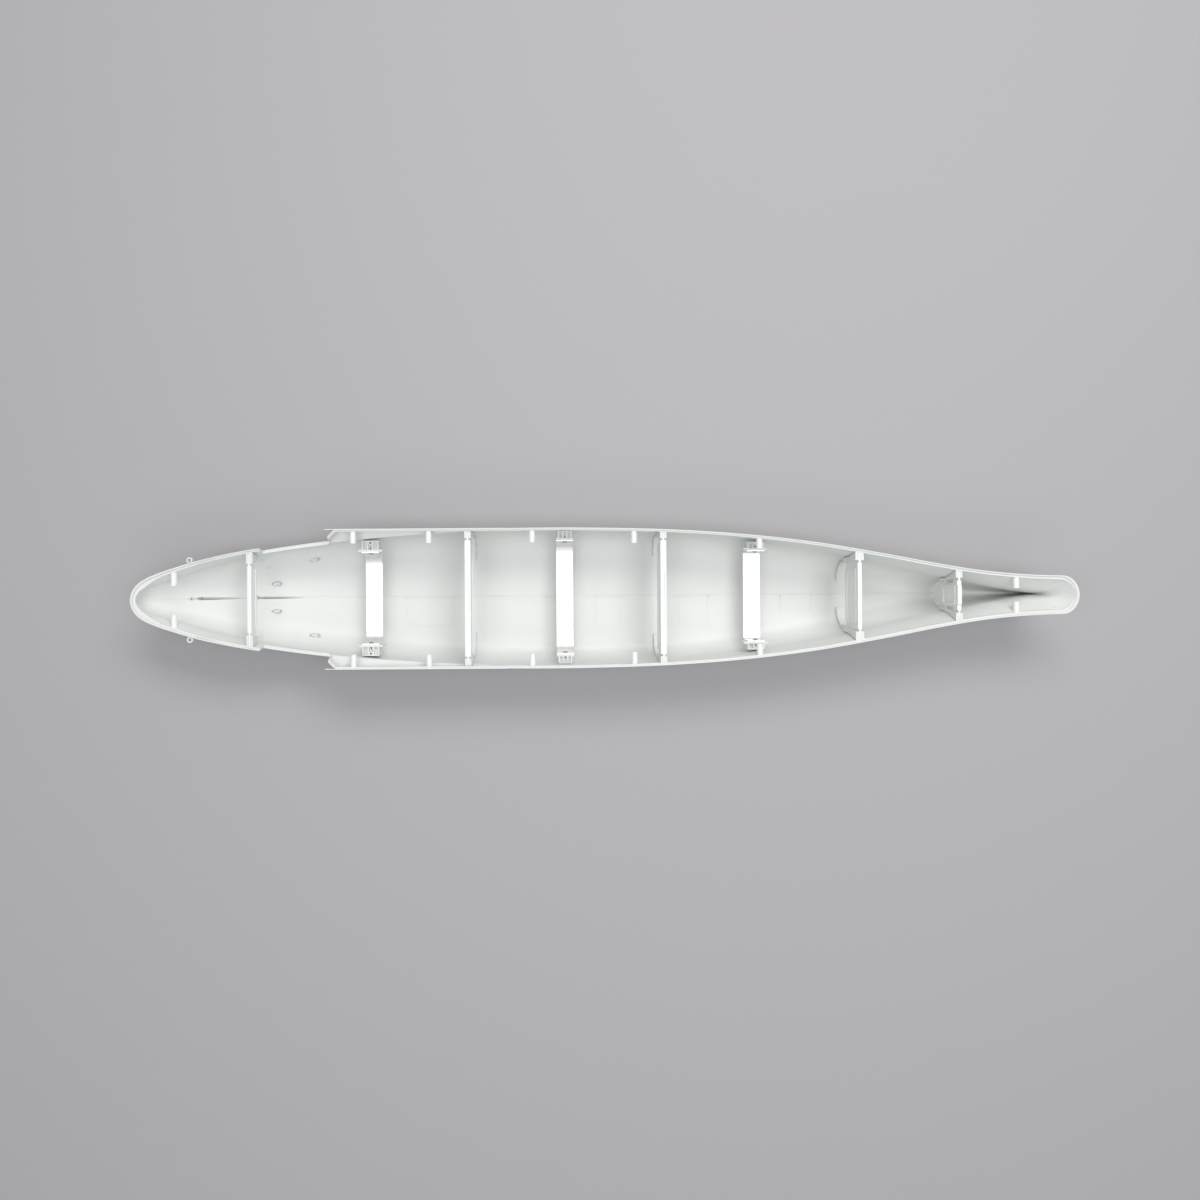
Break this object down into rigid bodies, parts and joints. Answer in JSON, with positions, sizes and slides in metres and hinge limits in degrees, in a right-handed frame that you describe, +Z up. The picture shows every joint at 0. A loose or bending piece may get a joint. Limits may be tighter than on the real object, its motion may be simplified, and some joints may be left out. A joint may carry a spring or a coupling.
{
  "type": "model battleship hull",
  "caption": "Open hull of a large model battleship with plastic frames, U-shaped metal straps, screw brackets, deck pegs, and bushes for propeller shafts and rudder posts.",
  "frame": {"origin": "on the keel, at mid-length and on the centreline", "axes": "+X towards the bow, +Y to port, +Z up"},
  "size_m": [1.315, 0.1952, 0.0997],
  "materials": {
    "hull_plastic": "light grey moulded plastic",
    "frame_plastic": "off-white moulded plastic",
    "strap_metal": "brushed",
    "screw_metal": "satin"
  },
  "bodies": {
    "root": {"hull_stern": "hull_plastic", "hull_quarter": "hull_plastic", "hull_aft": "hull_plastic", "hull_middle": "hull_plastic", "hull_fore": "hull_plastic", "hull_bow": "hull_plastic", "stern_frame": "frame_plastic", "aft_frame": "frame_plastic", "mid_frame": "frame_plastic", "fore_frame": "frame_plastic", "bow_frame": "frame_plastic", "stern_frame_guides": "hull_plastic", "aft_frame_guides": "hull_plastic", "mid_frame_guides": "hull_plastic", "fore_frame_guides": "hull_plastic", "bow_frame_guides": "hull_plastic", "aft_strap": "strap_metal", "mid_strap": "strap_metal", "fore_strap": "strap_metal", "aft_bracket_port": "hull_plastic", "aft_bracket_starboard": "hull_plastic", "mid_bracket_port": "hull_plastic", "mid_bracket_starboard": "hull_plastic", "fore_bracket_port": "hull_plastic", "fore_bracket_starboard": "hull_plastic", "aft_strap_screws": "screw_metal", "mid_strap_screws": "screw_metal", "fore_strap_screws": "screw_metal", "deck_pegs_port": "frame_plastic", "deck_pegs_starboard": "frame_plastic", "inner_shaft_bushes": "hull_plastic", "outer_shaft_bushes": "hull_plastic", "rudder_bushes": "hull_plastic", "catapult_rings": "hull_plastic"}
  },
  "joints": []
}
